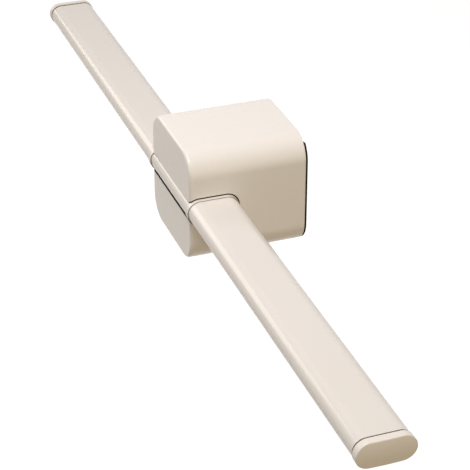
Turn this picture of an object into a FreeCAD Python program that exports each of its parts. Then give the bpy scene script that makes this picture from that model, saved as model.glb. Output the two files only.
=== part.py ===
import FreeCAD, Part
import math
import os

# A wall rail carried by one square block. The rail is a flat oval tube that runs right through the
# block and shows as a strip in its room face. The block lifts off a dovetail that is fixed to the wall.
# Frame: +X along the rail, +Y into the wall, +Z up. The wall is the plane y = 0, and the origin is
# the middle of the wall fixing's back face. Lengths are in millimetres, and "out" is a distance
# from the wall towards the room.

# Rail, with a crowned cap and a soft seal at each end
rail_length = 600.0
rail_width = 33.0
rail_thickness = 15.0
rail_wall = 1.6
rail_proud = 1.8
rail_rise = 0.8

cap_flange = 6.8
cap_lip = 0.45
cap_edge = 0.6
cap_crown_radius = 35.0
cap_crown_sweep = 240.0
cap_plug = 14.0
cap_plug_wall = 1.8
cap_plug_play = 0.15
seal_thickness = 1.4
seal_recess = 0.1

# Block, a moulded shell that is open towards the wall
block_width = 76.0
block_height = 76.0
block_reach = 78.0
block_corner = 16.0
room_edge = 2.0
rim_edge = 0.5
rim_gap = 1.2
gasket_inset = 0.3
gasket_width = 1.8
gasket_drop = 5.0
shell_wall = 3.0
tunnel_wall = 2.4
rail_play = 0.4
boss_radius = 5.0
boss_merge = 0.6
boss_floor = 3.0

# Collars, a trim ring round the rail on each side of the block
collar_wall = 0.5
collar_stand = 2.2
collar_seat = 1.6
collar_gap = 0.9
collar_play = 0.15
collar_edge = 0.3

# Liner, a soft grommet under the rail in the block's tunnel, with a lip round each collar
liner_wall = 1.6
liner_play = 0.1
liner_web = 0.6
liner_recess = 0.1
liner_drop = 3.0

# Wall fixing, a plate with a dovetail tongue on an adhesive pad
pad_thickness = 1.0
plate_side_room = 14.0
plate_end_room = 6.0
plate_corner = 5.0
plate_thickness = 3.0
plate_edge = 0.6
tongue_depth = 8.0
tongue_undercut = 3.0
tongue_side_room = 6.0
tongue_end_room = 9.0
tongue_lead = 1.2
wall_hole_radius = 2.25
wall_head_radius = 3.9
wall_hole_inset = 7.0

# Hanger, the plate in the back of the block that slides down over the tongue
hanger_gap = 0.3
hanger_play = 0.25
hanger_floor = 3.7
hanger_edge = 0.6
groove_play = 0.3
notch_play = 0.6

# Carrier, the strut between the hanger and the rail's tunnel
flange_thickness = 6.0
flange_room = 5.0
flange_margin = 6.0
carrier_screw_offset = 4.0
carrier_screw_height = 9.0
saddle_play = 0.2
strut_floor = 4.5
pocket_play = 0.4
pocket_wall = 3.1

# Nut bar inside the rail
nut_depth = 5.0
nut_margin = 9.0
nut_play = 0.15

# Fasteners
rail_screw_radius = 2.0
rail_screw_head_radius = 3.8
rail_screw_head_height = 2.6
rail_screw_engagement = 4.5
washer_radius = 4.5
washer_thickness = 0.8
small_screw_radius = 1.5
small_screw_head_radius = 2.75
small_screw_head_height = 2.0
small_screw_seat = 2.4
shell_screw_length = 16.0
carrier_screw_length = 14.0
insert_radius = 2.3
insert_length = 5.0
insert_waist_depth = 0.4
insert_play = 0.05
screw_play = 0.25
thread_play = 0.08
tip_room = 1.5

# Shares of a screw head: the cross recess and the rounding of the rim
recess_width_share = 0.24
recess_length_share = 1.2
recess_depth_share = 0.6
head_round_share = 0.35
# Shares of an insert's length that its waist takes, from and to
insert_waist_shares = (0.4, 0.6)

# Overrun of every cut, and the tolerance for picking edges
over = 1.0
tiny = 0.0001

# Places along the way out from the wall
plate_face = pad_thickness + plate_thickness
tongue_front = plate_face + tongue_depth
hanger_back = plate_face + hanger_gap
hanger_front = tongue_front + groove_play + hanger_floor
head_seat = hanger_back + small_screw_seat
rail_front = block_reach + rail_proud
rail_back = rail_front - rail_width
rail_axis = rail_front - rail_width / 2
tunnel_back = rail_back - rail_play - tunnel_wall
saddle = tunnel_back - saddle_play
pocket_floor = saddle - strut_floor
nut_back = rail_back + rail_wall + nut_play
shell_screw_tip = head_seat + shell_screw_length
boss_end = shell_screw_tip + tip_room + boss_floor

# Sizes that follow from the pieces they meet
cavity_width = block_width - 2 * shell_wall
cavity_height = block_height - 2 * shell_wall
cavity_corner = block_corner - shell_wall
plate_width = cavity_width - 2 * plate_side_room
plate_height = cavity_height - 2 * plate_end_room
tongue_face = plate_width - 2 * tongue_side_room
tongue_root = tongue_face - 2 * tongue_undercut
tongue_height = plate_height - 2 * tongue_end_room
flank = tongue_undercut / tongue_depth
flank_stretch = math.sqrt(1 + flank ** 2)
flange_width = cavity_width - 2 * flange_room
carrier_screw_x = flange_width / 2 - flange_margin
pocket_radius = washer_radius + pocket_play
strut_width = 2 * (carrier_screw_x - carrier_screw_offset)
strut_height = 2 * (pocket_radius + pocket_wall)
rail_screw_pitch = strut_width - strut_height
rail_end = rail_length / 2
seam = rail_end - cap_flange
flange_start = seam + seal_thickness
side_face = block_width / 2
collar_start = side_face - collar_seat
seat_grow = collar_play + collar_wall + collar_gap
seat_start = collar_start - liner_web - liner_play

# Places of the fasteners, as (x, z)
corners = [(i, k) for i in (-1, 1) for k in (-1, 1)]
boss_reach = (cavity_corner - boss_radius + boss_merge) / math.sqrt(2)
boss_x = block_width / 2 - block_corner + boss_reach
boss_z = block_height / 2 - block_corner + boss_reach
shell_screw_places = [(i * boss_x, k * boss_z) for i, k in corners]
carrier_screw_places = [(i * carrier_screw_x, k * carrier_screw_height) for i, k in corners]
wall_hole_x = plate_width / 2 - wall_hole_inset
wall_hole_z = (plate_height - tongue_end_room) / 2
wall_hole_places = [(i * wall_hole_x, k * wall_hole_z) for i, k in corners]
rail_screw_places = [(i * rail_screw_pitch / 2, rail_rise) for i in (-1, 1)]

outward = FreeCAD.Vector(0, -1, 0)


def at(x, out, z):
    return FreeCAD.Vector(x, -out, z)


def slab(width, height, near, far, middle=0):
    """A box across X and Z, from near to far out from the wall, with its middle at that height."""
    return Part.makeBox(width, far - near, height, at(-width / 2, far, middle - height / 2))


def rounded_slab(width, height, corner, near, far):
    box = slab(width, height, near, far)
    return box.makeFillet(corner, [e for e in box.Edges if e.BoundBox.YLength > far - near - tiny])


def rod(place, radius, near, far):
    """A round rod or drill along the way out, at a place given as (x, z)."""
    return Part.makeCylinder(radius, far - near, at(place[0], near, place[1]), outward)


def ring(place, outer, inner, near, far):
    return rod(place, outer, near, far).cut(rod(place, inner, near - over, far + over))


def oval(grow, start, end):
    """The rail's flat oval grown all round, from start to end along the rail."""
    radius = rail_thickness / 2 + grow
    flat = (rail_width - rail_thickness) / 2
    front = at(start, rail_axis + flat, rail_rise)
    back = at(start, rail_axis - flat, rail_rise)
    up = FreeCAD.Vector(0, 0, radius)
    across = FreeCAD.Vector(0, radius, 0)
    edges = [
        Part.Arc(front - up, front - across, front + up).toShape(),
        Part.LineSegment(front + up, back + up).toShape(),
        Part.Arc(back + up, back + across, back - up).toShape(),
        Part.LineSegment(back - up, front - up).toShape(),
    ]
    return Part.Face(Part.Wire(edges)).extrude(FreeCAD.Vector(end - start, 0, 0))


def edges_out_at(shape, out):
    """The edges that lie in a plane parallel to the wall."""
    return [e for e in shape.Edges if abs(e.BoundBox.YMin + out) < tiny and abs(e.BoundBox.YMax + out) < tiny]


def edges_along_at(shape, x):
    """The edges that lie in a plane square to the rail."""
    return [e for e in shape.Edges if abs(e.BoundBox.XMin - x) < tiny and abs(e.BoundBox.XMax - x) < tiny]


def dovetail(play, near, far, bottom, top):
    """The tongue's section with play on its flanks, between two heights."""
    near_half = tongue_root / 2 + (near - plate_face) * flank + play * flank_stretch
    far_half = tongue_root / 2 + (far - plate_face) * flank + play * flank_stretch
    points = [
        at(-near_half, near, bottom),
        at(near_half, near, bottom),
        at(far_half, far, bottom),
        at(-far_half, far, bottom),
    ]
    face = Part.Face(Part.makePolygon(points + points[:1]))
    return face.extrude(FreeCAD.Vector(0, 0, top - bottom))


def adhesive_pad():
    pad = rounded_slab(plate_width, plate_height, plate_corner, 0, pad_thickness)
    return pad.cut([rod(p, wall_hole_radius, -over, pad_thickness + over) for p in wall_hole_places])


def wall_plate():
    base = rounded_slab(plate_width, plate_height, plate_corner, pad_thickness, plate_face)
    base = base.makeChamfer(plate_edge, edges_out_at(base, plate_face))
    top = tongue_height / 2
    tongue = dovetail(0, plate_face, tongue_front, -top, top)
    lead = [e for e in edges_out_at(tongue, tongue_front) if abs(e.BoundBox.ZMin - top) < tiny]
    plate = base.fuse(tongue.makeChamfer(tongue_lead, lead)).removeSplitter()
    sink = wall_head_radius - wall_hole_radius
    for place in wall_hole_places:
        plate = plate.cut(rod(place, wall_hole_radius, pad_thickness - over, plate_face + over))
        seat = at(place[0], plate_face - sink, place[1])
        plate = plate.cut(Part.makeCone(wall_hole_radius, wall_head_radius, sink, seat, outward))
    return plate


def hanger_plate():
    plate = rounded_slab(
        cavity_width - 2 * hanger_play,
        cavity_height - 2 * hanger_play,
        cavity_corner - hanger_play,
        hanger_back,
        hanger_front,
    )
    plate = plate.makeChamfer(hanger_edge, edges_out_at(plate, hanger_back))
    groove_bottom = -cavity_height / 2 - over
    groove_floor = tongue_front + groove_play
    groove = dovetail(groove_play, hanger_back - over, groove_floor, groove_bottom, tongue_height / 2)
    plate = plate.cut(groove)
    for place in shell_screw_places + carrier_screw_places:
        plate = plate.cut(rod(place, small_screw_radius + screw_play, hanger_back, hanger_front + over))
        plate = plate.cut(rod(place, small_screw_head_radius + screw_play, hanger_back - over, head_seat))
    return plate


def block_outside(inset=0):
    front = block_reach - inset
    body = rounded_slab(
        block_width - 2 * inset, block_height - 2 * inset, block_corner - inset, rim_gap, front
    )
    body = body.makeFillet(room_edge, edges_out_at(body, front))
    return body.makeFillet(rim_edge, edges_out_at(body, rim_gap))


def under_rail(shape):
    """The part of a shape below the rail's screws."""
    top = rail_rise - liner_drop
    height = block_height / 2 + top
    side = slab(block_width + 4 * over, height, rim_gap, rail_front + 4 * over, top - height / 2)
    return shape.common(side)


def block_notches():
    """The way out through the bottom wall for the wall plate and its tongue, when the block is lifted."""
    height = shell_wall + 2 * over
    middle = (shell_wall - block_height) / 2
    plate_way = slab(plate_width + 2 * notch_play, height, -over, hanger_back, middle)
    tongue_way = slab(
        tongue_face + 2 * notch_play, height, hanger_back - over, tongue_front + groove_play, middle
    )
    return [plate_way, tongue_way]


def block_shell():
    outside = block_outside()
    cavity = rounded_slab(
        cavity_width, cavity_height, cavity_corner, rim_gap - over, block_reach - shell_wall
    )
    tunnel = oval(rail_play + tunnel_wall, -side_face, side_face).common(outside)
    bosses = [rod(p, boss_radius, hanger_front, boss_end) for p in shell_screw_places]
    shell = outside.cut(cavity).fuse([tunnel] + bosses).removeSplitter()
    cuts = [oval(rail_play, -side_face - over, side_face + over)]
    cuts.append(under_rail(oval(liner_wall + 2 * liner_play, -side_face - over, side_face + over)))
    cuts += [oval(seat_grow, i * seat_start, i * (side_face + over)) for i in (-1, 1)]
    cuts += block_notches()
    for place in shell_screw_places:
        insert_end = hanger_front + insert_length
        cuts.append(rod(place, insert_radius + insert_play, hanger_front - over, insert_end))
        cuts.append(rod(place, small_screw_radius + screw_play, hanger_front, shell_screw_tip + tip_room))
    for place in rail_screw_places:
        cuts.append(rod(place, rail_screw_radius + screw_play, tunnel_back - over, rail_back))
    return shell.cut(cuts)


def rim_gasket():
    """Two soft strips on the block's rim, one down each side and round its lower corner."""
    inset = gasket_inset + gasket_width
    outer = rounded_slab(
        block_width - 2 * gasket_inset,
        block_height - 2 * gasket_inset,
        block_corner - gasket_inset,
        0,
        rim_gap,
    )
    inner = rounded_slab(
        block_width - 2 * inset, block_height - 2 * inset, block_corner - inset, -over, rim_gap + over
    )
    top = slab(block_width, gasket_drop, -over, rim_gap + over, (block_height - gasket_drop) / 2)
    return outer.cut([inner, top] + block_notches())


def rail_liner():
    """The strip under the rail and, at each end, a web behind the collar and a lip round it."""
    strip = under_rail(oval(liner_play + liner_wall, -collar_start, collar_start))
    ends = [
        oval(seat_grow - liner_play, i * (collar_start - liner_web), i * (side_face - liner_recess))
        for i in (-1, 1)
    ]
    collar_room = collar_play + collar_wall + liner_play
    cuts = [oval(collar_room, i * collar_start, i * (side_face + over)) for i in (-1, 1)]
    cuts.append(oval(liner_play, -side_face, side_face))
    return strip.fuse(ends).cut(cuts).common(block_outside(liner_recess)).removeSplitter()


def carrier():
    flange_height = 2 * (carrier_screw_height + flange_margin)
    flange = slab(flange_width, flange_height, hanger_front, hanger_front + flange_thickness)
    strut = slab(strut_width, strut_height, hanger_front, rail_back + rail_thickness / 2, rail_rise)
    body = flange.fuse(strut).removeSplitter()
    body = body.cut(oval(rail_play + tunnel_wall + saddle_play, -side_face, side_face))
    for place in rail_screw_places:
        body = body.cut(rod(place, pocket_radius, hanger_front - over, pocket_floor))
        body = body.cut(rod(place, rail_screw_radius + screw_play, pocket_floor - over, rail_back))
    for place in carrier_screw_places:
        insert_end = hanger_front + insert_length
        body = body.cut(rod(place, insert_radius + insert_play, hanger_front - over, insert_end))
        drill_end = hanger_front + flange_thickness + over
        body = body.cut(rod(place, small_screw_radius + screw_play, hanger_front, drill_end))
    return body


def rail():
    tube = oval(0, -seam, seam).cut(oval(-rail_wall, -seam - over, seam + over))
    holes = [
        rod(p, rail_screw_radius + screw_play, rail_back - over, rail_back + rail_wall + over)
        for p in rail_screw_places
    ]
    return tube.cut(holes)


def nut_bar():
    half = rail_screw_pitch / 2 + nut_margin
    bar = oval(-rail_wall - nut_play, -half, half)
    bar = bar.common(slab(2 * half, rail_thickness, nut_back - over, nut_back + nut_depth, rail_rise))
    threads = [
        rod(p, rail_screw_radius + thread_play, nut_back - over, nut_back + nut_depth + over)
        for p in rail_screw_places
    ]
    return bar.cut(threads)


def collar():
    """The right-hand collar, seated in the block's side face."""
    end = side_face + collar_stand
    body = oval(collar_play + collar_wall, collar_start, end)
    body = body.makeFillet(collar_edge, edges_along_at(body, end))
    return body.cut(oval(collar_play, collar_start - over, end + over))


def end_cap():
    """The right-hand cap: a flange a little larger than the rail, with a crowned end, and a hollow plug."""
    middle = at(rail_end - cap_crown_sweep, rail_axis, rail_rise)
    crown = Part.makeTorus(
        cap_crown_sweep - cap_crown_radius, cap_crown_radius, middle, FreeCAD.Vector(0, 0, 1)
    )
    flange = oval(cap_lip, flange_start, rail_end).common(crown)
    flange = flange.makeFillet(cap_edge, [e for e in flange.Edges if e.BoundBox.XMin > flange_start + tiny])
    plug = oval(-rail_wall - cap_plug_play, seam - cap_plug, flange_start)
    hollow = oval(-rail_wall - cap_plug_play - cap_plug_wall, seam - cap_plug - over, seam)
    return flange.fuse(plug.cut(hollow)).removeSplitter()


def cap_seal():
    """The right-hand seal, a thin soft ring between the tube's end and the cap's flange."""
    return oval(-seal_recess, seam, flange_start).cut(oval(-rail_wall, seam - over, flange_start + over))


def mirrored(shape):
    return shape.mirror(FreeCAD.Vector(0, 0, 0), FreeCAD.Vector(1, 0, 0))


def pan_screw(place, radius, head_radius, head_height, seat, tip):
    """A cross-recessed screw whose head bears at seat and whose point is at tip."""
    crown = seat - head_height
    head = rod(place, head_radius, crown, seat)
    head = head.makeFillet(head_round_share * head_height, edges_out_at(head, crown))
    width = recess_width_share * head_radius
    length = recess_length_share * head_radius
    floor = crown + recess_depth_share * head_height
    recess = slab(width, length, crown - over, floor).fuse(slab(length, width, crown - over, floor))
    recess.translate(at(place[0], 0, place[1]))
    return head.fuse(rod(place, radius, seat, tip)).cut(recess)


def hanger_screws(places, length):
    """Small screws through the hanger plate, with their heads sunk in its back."""
    tip = head_seat + length
    return [
        pan_screw(p, small_screw_radius, small_screw_head_radius, small_screw_head_height, head_seat, tip)
        for p in places
    ]


def rail_screws():
    seat = pocket_floor - washer_thickness
    tip = nut_back + rail_screw_engagement
    return [
        pan_screw(p, rail_screw_radius, rail_screw_head_radius, rail_screw_head_height, seat, tip)
        for p in rail_screw_places
    ]


def rail_washers():
    bore = rail_screw_radius + screw_play
    near = pocket_floor - washer_thickness
    return [ring(p, washer_radius, bore, near, pocket_floor) for p in rail_screw_places]


def inserts(places):
    """Threaded inserts with a waist, pressed in flush with the hanger's front face."""
    bodies = []
    waist_start, waist_end = [hanger_front + share * insert_length for share in insert_waist_shares]
    for place in places:
        body = ring(
            place, insert_radius, small_screw_radius + thread_play, hanger_front, hanger_front + insert_length
        )
        waist = ring(place, insert_radius + over, insert_radius - insert_waist_depth, waist_start, waist_end)
        bodies.append(body.cut(waist))
    return bodies


pieces = {
    "adhesive_pad": [adhesive_pad()],
    "wall_plate": [wall_plate()],
    "hanger_plate": [hanger_plate()],
    "block_shell": [block_shell()],
    "rim_gasket": [rim_gasket()],
    "rail_liner": [rail_liner()],
    "shell_inserts": inserts(shell_screw_places),
    "shell_screws": hanger_screws(shell_screw_places, shell_screw_length),
    "carrier": [carrier()],
    "carrier_inserts": inserts(carrier_screw_places),
    "carrier_screws": hanger_screws(carrier_screw_places, carrier_screw_length),
    "rail": [rail()],
    "nut_bar": [nut_bar()],
    "rail_screws": rail_screws(),
    "rail_washers": rail_washers(),
    "right_collar": [collar()],
    "left_collar": [mirrored(collar())],
    "right_end_cap": [end_cap()],
    "left_end_cap": [mirrored(end_cap())],
    "cap_seals": [cap_seal(), mirrored(cap_seal())],
}

os.makedirs("parts", exist_ok=True)
for name, solids in pieces.items():
    bodies = [body for solid in solids for body in solid.Solids]
    shape = bodies[0] if len(bodies) == 1 else Part.makeCompound(bodies)
    shape.exportStep("parts/" + name + ".step")
    print(name, len(bodies), round(shape.Volume), shape.isValid())
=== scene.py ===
import bpy
import math
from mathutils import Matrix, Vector

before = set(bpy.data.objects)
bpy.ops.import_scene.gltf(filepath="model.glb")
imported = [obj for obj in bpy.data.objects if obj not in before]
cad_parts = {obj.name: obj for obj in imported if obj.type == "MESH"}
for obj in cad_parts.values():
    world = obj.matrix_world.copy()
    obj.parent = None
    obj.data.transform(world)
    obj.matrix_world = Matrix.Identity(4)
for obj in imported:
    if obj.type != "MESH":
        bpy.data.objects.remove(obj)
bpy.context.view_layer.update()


# Adhesive pad: a die-cut sheet of closed-cell foam, sticky on both sides, that holds the wall plate
# in place while its four screws go in. It lies flat between the plate and the wall.
def put(tree, kind, inputs=None, **settings):
    """Adds a shader node, sets its options, and sets or links its inputs by name or number."""
    node = tree.nodes.new("ShaderNode" + kind)
    for key, value in settings.items():
        setattr(node, key, value)
    for key, value in (inputs or {}).items():
        if isinstance(value, bpy.types.NodeSocket):
            tree.links.new(value, node.inputs[key])
        else:
            node.inputs[key].default_value = value
    return node


def empty_tree(holder):
    """Turns on the nodes of a material or a world and clears them."""
    holder.use_nodes = True
    holder.node_tree.nodes.clear()
    return holder.node_tree


def new_finish(name):
    """A new material, its empty node tree, and where a point lies on the piece, in metres."""
    material = bpy.data.materials.new(name)
    tree = empty_tree(material)
    return material, tree, put(tree, "TexCoord").outputs["Object"]


def shade(tree, inputs):
    """Ends a material with one Principled shader."""
    shader = put(tree, "BsdfPrincipled", inputs)
    put(tree, "OutputMaterial", {"Surface": shader.outputs[0]})


def bump(tree, height, depth):
    """The surface normal over a relief of that depth in metres."""
    return put(tree, "Bump", {"Height": height, "Strength": 1.0, "Distance": depth}).outputs["Normal"]


def tone_between(tree, share, first, second):
    """A colour between two others. A Mix node takes colours at inputs 6 and 7 and gives one at output 2."""
    return put(tree, "Mix", {0: share, 6: first, 7: second}, data_type="RGBA").outputs[2]


def in_steps(tree, position, size):
    """A position counted in steps of that size, so that a pattern of scale 1 is about that large."""
    per_metre = put(tree, "Math", {0: 1.0, 1: size}, operation="DIVIDE").outputs[0]
    return put(tree, "VectorMath", {0: position, "Scale": per_metre}, operation="SCALE").outputs[0]


def new_group(name, inputs, outputs):
    """An empty shader group with named sockets: the group, its incoming sockets and its end node."""
    group = bpy.data.node_groups.new(name, "ShaderNodeTree")
    for label, kind in inputs:
        group.interface.new_socket(label, in_out="INPUT", socket_type="NodeSocket" + kind)
    for label, kind in outputs:
        group.interface.new_socket(label, in_out="OUTPUT", socket_type="NodeSocket" + kind)
    start = group.nodes.new("NodeGroupInput")
    return group, start.outputs, group.nodes.new("NodeGroupOutput")


def place(tree, group, inputs):
    """Puts a shader group into a material and gives its outgoing sockets."""
    return put(tree, "Group", inputs, node_tree=group).outputs


def dress(material, *nodes):
    """Gives carried-over solids their finish."""
    for node in nodes:
        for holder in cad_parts[node].material_slots:
            holder.material = material


# Slow drift, for any finish whose tone wanders a little between two close colours
slow_drift, given, made = new_group(
    "slow_drift",
    [("Position", "Vector"), ("Size", "Float"), ("Main", "Color"), ("Second", "Color")],
    [("Colour", "Color")],
)
spread = in_steps(slow_drift, given["Position"], given["Size"])
clouds = put(slow_drift, "TexNoise", {"Vector": spread, "Scale": 1.0, "Detail": 3.0})
drift = put(slow_drift, "MapRange", {"Value": clouds.outputs[0], "From Min": 0.3, "From Max": 0.7})
tone = tone_between(slow_drift, drift.outputs[0], given["Main"], given["Second"])
slow_drift.links.new(tone, made.inputs["Colour"])


def drifting(tree, where, size, main, second):
    """The colour of a finish that drifts between two tones over patches of that size in metres."""
    inputs = {"Position": where, "Size": size, "Main": main, "Second": second}
    return place(tree, slow_drift, inputs)["Colour"]


foam_cell = 0.00035
foam_cell_depth = 0.00006
foam_patch = 0.012
foam_tones = (0.78, 0.78, 0.75, 1), (0.70, 0.70, 0.67, 1)
material, tree, where = new_finish("foam_tape")
cells = put(tree, "TexVoronoi", {"Vector": where, "Scale": 1.0 / foam_cell, "Randomness": 0.9})
shade(
    tree,
    {
        "Base Color": drifting(tree, where, foam_patch, *foam_tones),
        "Roughness": 0.88,
        "Normal": bump(tree, cells.outputs["Distance"], foam_cell_depth),
    },
)
dress(material, "adhesive_pad")


# Wall plate: a small die casting in light alloy with a dovetail tongue, blasted with glass beads.
# Four countersunk screws through it hold it to the wall.

# Fine grain, for any moulded, cast or coated skin: even pits and bumps of one size
fine_grain, given, made = new_group(
    "fine_grain",
    [("Position", "Vector"), ("Size", "Float")],
    [("Height", "Float"), ("Fleck", "Float")],
)
spread = in_steps(fine_grain, given["Position"], given["Size"])
pits = put(fine_grain, "TexNoise", {"Vector": spread, "Scale": 0.6, "Detail": 2.0, "Roughness": 0.6})
fleck = put(fine_grain, "MapRange", {"Value": pits.outputs[0], "From Min": 0.45, "From Max": 0.7})
fine_grain.links.new(pits.outputs[0], made.inputs["Height"])
fine_grain.links.new(fleck.outputs[0], made.inputs["Fleck"])


def grained(tree, where, grain, depth, smooth, rough):
    """Roughness and normal of an even grain, its size and depth in metres, rougher on its bumps."""
    skin = place(tree, fine_grain, {"Position": where, "Size": grain})
    roughness = put(tree, "MapRange", {"Value": skin["Fleck"], "To Min": smooth, "To Max": rough})
    return {"Roughness": roughness.outputs[0], "Normal": bump(tree, skin["Height"], depth)}


plate_patch = 0.015
plate_tones = (0.63, 0.64, 0.65, 1), (0.56, 0.57, 0.58, 1)
material, tree, where = new_finish("cast_plate")
skin = grained(tree, where, grain=0.00022, depth=0.00001, smooth=0.38, rough=0.55)
shade(tree, {"Base Color": drifting(tree, where, plate_patch, *plate_tones), "Metallic": 1.0, **skin})
dress(material, "wall_plate")


# Block shell: a square box with round corners, moulded in cream plastic with a fine satin grain and
# open towards the wall. The rail's tunnel runs through it from side to side, near the room face.
block_patch = 0.06
block_tones = (0.905, 0.848, 0.782, 1), (0.893, 0.832, 0.762, 1)
material, tree, where = new_finish("block_cream")
skin = grained(tree, where, grain=0.0004, depth=0.000003, smooth=0.24, rough=0.29)
shade(tree, {"Base Color": drifting(tree, where, block_patch, *block_tones), **skin})
dress(material, "block_shell")


# Soft rubber between the hard pieces: a black strip on each side of the block's rim, which keeps it off the
# wall, a black moulded liner under the rail and round its collars, and a thinner brown ring at the seam of
# each end cap. All are pressed in dry and show only as fine dark lines. Their near-black and brown colours
# are painted shade, dark enough to stand for the shadow gaps at these seams.
rubber_patch = 0.01
# Painted shade: near-black and brown tones that stand for the shadow gaps at the rim, under the rail, round
# the collars and at the cap seams
painted_shade_rubbers = [
    ("black_rubber_painted_shade", (0.008, 0.0065, 0.005, 1), (0.014, 0.012, 0.0095, 1), ("rim_gasket", "rail_liner")),
    ("brown_rubber_painted_shade", (0.16, 0.115, 0.08, 1), (0.19, 0.14, 0.10, 1), ("cap_seals",)),
]
for name, main, second, nodes in painted_shade_rubbers:
    material, tree, where = new_finish(name)
    skin = grained(tree, where, grain=0.0003, depth=0.00001, smooth=0.72, rough=0.88)
    colour = drifting(tree, where, rubber_patch, main, second)
    shade(tree, {"Base Color": colour, "Specular IOR Level": 0.05, **skin})
    dress(material, *nodes)


# Rail: one length of extruded flat oval tube with a satin cream powder coat. It is pushed through the
# block's tunnel until its middle is there, and shows as a strip in the room face.
rail_patch = 0.09
rail_tones = (0.82, 0.763, 0.70, 1), (0.81, 0.75, 0.683, 1)
material, tree, where = new_finish("rail_cream")
coat = grained(tree, where, grain=0.0016, depth=0.000001, smooth=0.14, rough=0.18)
shade(tree, {"Base Color": drifting(tree, where, rail_patch, *rail_tones), **coat})
dress(material, "rail")


# Nut bar: a short drawn steel bar with two threads, slid inside the rail before its caps go on.
# The rail screws pull it against the tube's back wall.
def tooled(tree, where, per_metre, detail, depth, smooth, rough):
    """Roughness and normal of the marks that a tool leaves, so many to a metre along x, y and z."""
    stretched = put(tree, "VectorMath", {0: where, 1: per_metre}, operation="MULTIPLY").outputs[0]
    marks = put(tree, "TexNoise", {"Vector": stretched, "Scale": 1.0, "Detail": detail}).outputs[0]
    roughness = put(tree, "MapRange", {"Value": marks, "To Min": smooth, "To Max": rough})
    return {"Roughness": roughness.outputs[0], "Normal": bump(tree, marks, depth)}


bar_patch = 0.008
bar_tones = (0.58, 0.58, 0.58, 1), (0.50, 0.49, 0.48, 1)
drawn_along = (400, 9000, 9000)
material, tree, where = new_finish("nut_steel")
skin = tooled(tree, where, drawn_along, detail=2.0, depth=0.000005, smooth=0.28, rough=0.5)
shade(tree, {"Base Color": drifting(tree, where, bar_patch, *bar_tones), "Metallic": 1.0, **skin})
dress(material, "nut_bar")


# Carrier and hanger plate: grey glass-filled mouldings inside the block. The carrier takes the rail's
# load to the hanger plate, whose groove slides down over the wall plate's tongue.
fibres_per_metre = (900, 300, 2600)
fibre_tones = (0.37, 0.36, 0.35, 1), (0.45, 0.44, 0.425, 1)
material, tree, where = new_finish("inner_plastic")
flow = put(tree, "VectorMath", {0: where, 1: fibres_per_metre}, operation="MULTIPLY").outputs[0]
fibres = put(tree, "TexNoise", {"Vector": flow, "Scale": 1.0, "Detail": 3.0, "Distortion": 0.4})
streaks = put(tree, "MapRange", {"Value": fibres.outputs[0], "From Min": 0.35, "From Max": 0.7})
skin = grained(tree, where, grain=0.0003, depth=0.000008, smooth=0.48, rough=0.62)
shade(tree, {"Base Color": tone_between(tree, streaks.outputs[0], *fibre_tones), **skin})
dress(material, "carrier", "hanger_plate")


# Screws and washers: cross-recessed steel screws with a pale zinc plating. Eight small ones hold the
# hanger plate to the block and the carrier, and two larger ones with washers hold the rail.
zinc_patch = 0.003
zinc_tones = (0.74, 0.745, 0.76, 1), (0.70, 0.69, 0.66, 1)
rolled_round = (1500, 14000, 1500)
material, tree, where = new_finish("zinc_steel")
skin = tooled(tree, where, rolled_round, detail=1.0, depth=0.000004, smooth=0.22, rough=0.4)
shade(tree, {"Base Color": drifting(tree, where, zinc_patch, *zinc_tones), "Metallic": 1.0, **skin})
dress(material, "shell_screws", "carrier_screws", "rail_screws", "rail_washers")


# Threaded inserts: turned brass bushes with a waist, pressed hot into the plastic, so that the screws
# can be undone and done up again.
brass_patch = 0.004
brass_tones = (0.76, 0.58, 0.28, 1), (0.68, 0.50, 0.23, 1)
turned_round = (1200, 16000, 1200)
material, tree, where = new_finish("insert_brass")
skin = tooled(tree, where, turned_round, detail=1.0, depth=0.000004, smooth=0.2, rough=0.36)
shade(tree, {"Base Color": drifting(tree, where, brass_patch, *brass_tones), "Metallic": 1.0, **skin})
dress(material, "shell_inserts", "carrier_inserts")


# End caps: small crowned mouldings in cream plastic like the block's, a little smoother.
# Each has a hollow plug that is pushed into the rail's end.
trim_patch = 0.03
trim_tones = (0.87, 0.805, 0.735, 1), (0.86, 0.79, 0.715, 1)


def cream_trim(name):
    """A smooth satin cream: its material and node tree, and what it gives the shader."""
    material, tree, where = new_finish(name)
    skin = grained(tree, where, grain=0.0003, depth=0.000002, smooth=0.22, rough=0.28)
    return material, tree, {"Base Color": drifting(tree, where, trim_patch, *trim_tones), **skin}


material, tree, skin = cream_trim("cap_cream")
shade(tree, skin)
dress(material, "right_end_cap", "left_end_cap")


# Collars: rings cut from a thin oval tube in the cap's cream plastic, pressed into the block round the
# rail. Their end faces are rougher and carry painted shade, a darker tone that stands for the fine shadow
# line next to the rail.
# Painted shade: the darker tone given to the end faces, for the shadow line next to the rail
painted_shade_tone = (0.40, 0.35, 0.29, 1)
end_face_roughness = 0.7
material, tree, skin = cream_trim("collar_cream")
facing = put(tree, "SeparateXYZ", {0: put(tree, "TexCoord").outputs["Normal"]})
along = put(tree, "Math", {0: facing.outputs["X"]}, operation="ABSOLUTE")
# Painted shade mask: 1 on the collar's end faces, which face along the rail
painted_shade_mask = put(tree, "MapRange", {"Value": along.outputs[0], "From Min": 0.5, "From Max": 0.8}).outputs[0]
dull = put(tree, "MapRange", {"Value": painted_shade_mask, "To Min": skin["Roughness"], "To Max": end_face_roughness})
skin["Base Color"] = tone_between(tree, painted_shade_mask, skin["Base Color"], painted_shade_tone)
skin["Roughness"] = dull.outputs[0]
shade(tree, skin)
dress(material, "right_collar", "left_collar")


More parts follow.
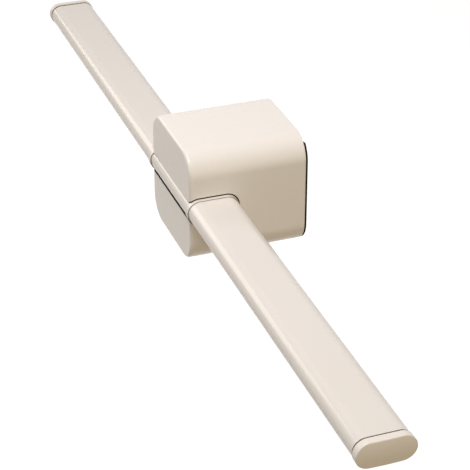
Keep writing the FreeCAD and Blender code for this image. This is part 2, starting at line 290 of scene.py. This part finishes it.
# Studio: a plain pale floor well below the rack, a white room, and soft square lamps: one above on the
# right, one above in front, a warm one low on the right, one far left that edges the rail and its strip,
# and one behind that shows the wall fixing in views from the back.
floor_height = -0.34
floor_half = 8.0
corners = [(-1, -1), (1, -1), (1, 1), (-1, 1)]
floor_mesh = bpy.data.meshes.new("floor")
floor_mesh.from_pydata(
    [(x * floor_half, y * floor_half, floor_height) for x, y in corners],
    [],
    [(0, 1, 2, 3)],
)
floor = bpy.data.objects.new("floor", floor_mesh)
bpy.context.scene.collection.objects.link(floor)


def seen(tree):
    """1 where the camera, a reflection or clear glass looks at the background, and 0 for its light."""
    rays = put(tree, "LightPath").outputs
    mirror = put(tree, "Math", {0: rays["Is Camera Ray"], 1: rays["Is Glossy Ray"]}, operation="MAXIMUM")
    either = {0: mirror.outputs[0], 1: rays["Is Transmission Ray"]}
    return put(tree, "Math", either, operation="MAXIMUM").outputs[0]


material = bpy.data.materials.new("floor")
tree = empty_tree(material)
pale = put(tree, "BsdfDiffuse", {"Color": (0.56, 0.48, 0.38, 1)})
paper = put(tree, "BsdfDiffuse", {"Color": (0.35, 0.35, 0.35, 1)})
glow = put(tree, "Emission", {"Color": (0.9, 0.9, 0.9, 1), "Strength": 1.0})
white = put(tree, "AddShader", {0: paper.outputs[0], 1: glow.outputs[0]})
mixed = put(tree, "MixShader", {0: seen(tree), 1: pale.outputs[0], 2: white.outputs[0]})
put(tree, "OutputMaterial", {"Surface": mixed.outputs[0]})
floor_mesh.materials.append(material)

world = bpy.data.worlds.new("room")
bpy.context.scene.world = world
tree = empty_tree(world)
ambient = put(tree, "Background", {"Color": (1.0, 0.86, 0.6, 1), "Strength": 0.1})
white = put(tree, "Background", {"Color": (1, 1, 1, 1), "Strength": 1.0})
mixed = put(tree, "MixShader", {0: seen(tree), 1: ambient.outputs[0], 2: white.outputs[0]})
put(tree, "OutputWorld", {"Surface": mixed.outputs[0]})

# Each lamp's name, place and side in metres, power in watts, and colour
lamps = [
    ("key", (0.50, -0.35, 1.20), 0.6, 9.4, (0.95, 0.98, 1.0)),
    ("top", (0.0, -0.30, 0.75), 0.5, 2.7, (1.0, 0.94, 0.99)),
    ("warm_side", (1.3, 0.1, 0.15), 0.9, 2.3, (1.0, 0.78, 0.40)),
    ("window", (-1.25, -0.85, 0.50), 0.70, 3.6, (1.0, 0.95, 0.84)),
    ("behind", (0.3, 1.3, 0.2), 1.2, 2.0, (1.0, 0.95, 0.88)),
]
for name, spot, side, power, colour in lamps:
    lamp = bpy.data.lights.new(name, "AREA")
    lamp.shape = "SQUARE"
    lamp.size = side
    lamp.energy = power
    lamp.color = colour
    holder = bpy.data.objects.new(name, lamp)
    bpy.context.scene.collection.objects.link(holder)
    holder.location = spot
    holder.rotation_mode = "QUATERNION"
    holder.rotation_quaternion = (-Vector(spot)).to_track_quat("-Z", "Y")


# Camera: stands by the rail's right-hand end, above it, and looks down along it.
# Its lens is a long one, so that the rail narrows only a little towards its far end.
azimuth = math.radians(70.104)
elevation = math.radians(30.164)
distance = 1.101107
focal_length = 128.44
film_width = 36.0
aim = Vector((0, -0.034781, -0.044308))
level = math.cos(elevation)
back = Vector((math.sin(azimuth) * level, -math.cos(azimuth) * level, math.sin(elevation)))
camera = bpy.data.objects.new("camera", bpy.data.cameras.new("camera"))
bpy.context.scene.collection.objects.link(camera)
camera.data.sensor_width = film_width
camera.data.lens = focal_length
camera.location = aim + back * distance
camera.rotation_mode = "QUATERNION"
camera.rotation_quaternion = (-back).to_track_quat("-Z", "Y")
bpy.context.scene.camera = camera
bpy.context.scene.view_settings.view_transform = "Standard"
